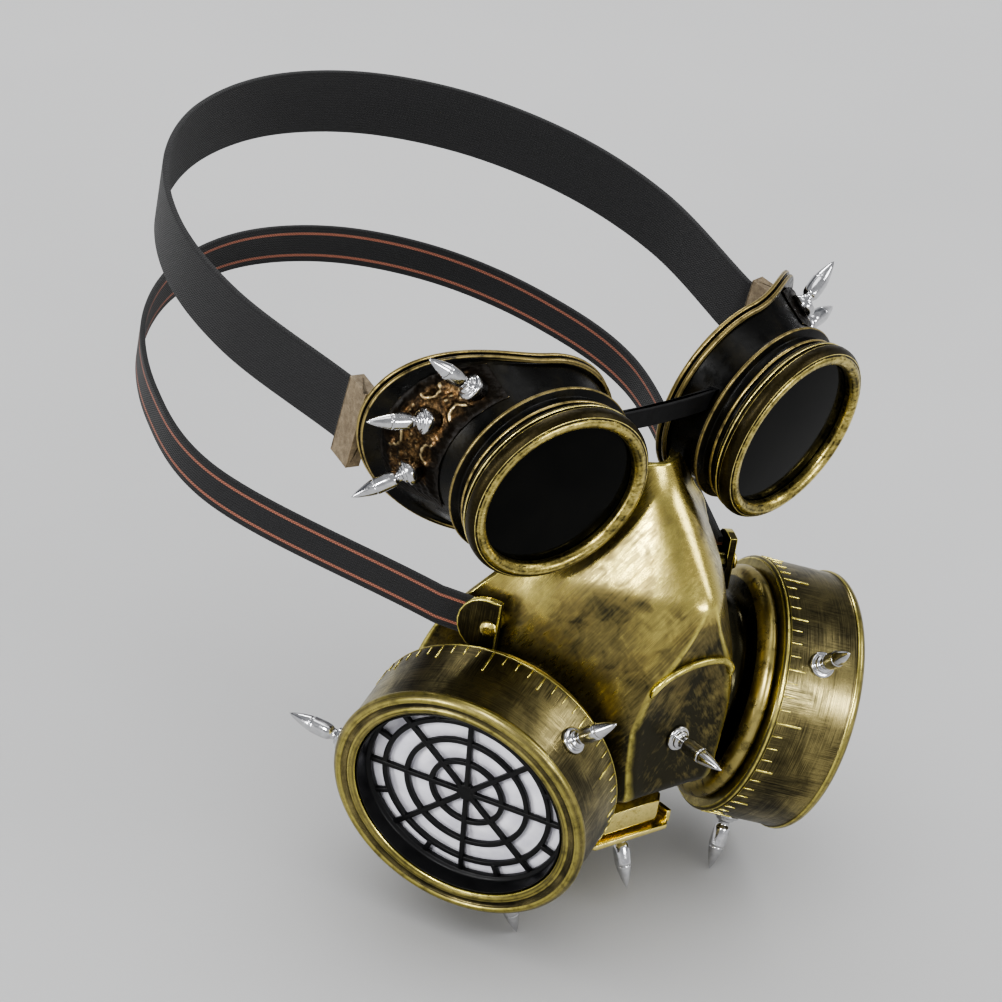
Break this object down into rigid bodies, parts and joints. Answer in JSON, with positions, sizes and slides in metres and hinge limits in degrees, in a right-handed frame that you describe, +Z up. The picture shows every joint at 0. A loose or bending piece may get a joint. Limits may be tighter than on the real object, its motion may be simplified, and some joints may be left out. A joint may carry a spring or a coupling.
{
  "type": "gas mask style costume mask with goggles",
  "caption": "Hollow half mask with side filter canisters, cobweb grills and pointed studs, worn with matching studded goggles on elastic head straps.",
  "frame": {"origin": "the point on the bridge of the wearer's nose where the mask sits, midway between the eyes", "axes": "+Z up, -Y to the front of the face, +X to the wearer's left"},
  "size_m": [0.175, 0.237, 0.1762],
  "materials": {
    "antique_brass": "aged brushed",
    "bright_brass": "rubbed bright",
    "aged_panel": "dark aged",
    "cup_black": "satin",
    "collar_black": "gloss",
    "grill_black": "satin",
    "chrome_stud": "polished",
    "filter_pad": "matt felt",
    "dark_lens": "gloss",
    "strap_plate": "rubbed",
    "black_elastic": "woven",
    "striped_elastic": "woven"
  },
  "bodies": {
    "root": {"eyecup_right": "cup_black", "eye_bezel_right": "bright_brass", "lens_right": "dark_lens", "vent_panel_right": "aged_panel", "goggle_spike_right_1": "chrome_stud", "goggle_spike_right_2": "chrome_stud", "goggle_spike_right_3": "chrome_stud", "strap_socket_right": "strap_plate", "canister_body_right": "antique_brass", "canister_grill_right": "grill_black", "filter_disc_right": "filter_pad", "collar_right": "collar_black", "canister_spike_right_1": "chrome_stud", "canister_spike_right_2": "chrome_stud", "canister_spike_right_3": "chrome_stud", "strap_ear_right": "antique_brass", "ear_rivet_right": "bright_brass", "eyecup_left": "cup_black", "eye_bezel_left": "bright_brass", "lens_left": "dark_lens", "vent_panel_left": "aged_panel", "goggle_spike_left_1": "chrome_stud", "goggle_spike_left_2": "chrome_stud", "goggle_spike_left_3": "chrome_stud", "strap_socket_left": "strap_plate", "canister_body_left": "antique_brass", "canister_grill_left": "grill_black", "filter_disc_left": "filter_pad", "collar_left": "collar_black", "canister_spike_left_1": "chrome_stud", "canister_spike_left_2": "chrome_stud", "canister_spike_left_3": "chrome_stud", "strap_ear_left": "antique_brass", "ear_rivet_left": "bright_brass", "goggle_bridge": "cup_black", "mask_strap": "striped_elastic", "goggle_strap": "black_elastic", "chin_outlet": "antique_brass", "chin_spike": "chrome_stud", "under_chin_spike": "chrome_stud", "mask_shell": "antique_brass"}
  },
  "joints": []
}
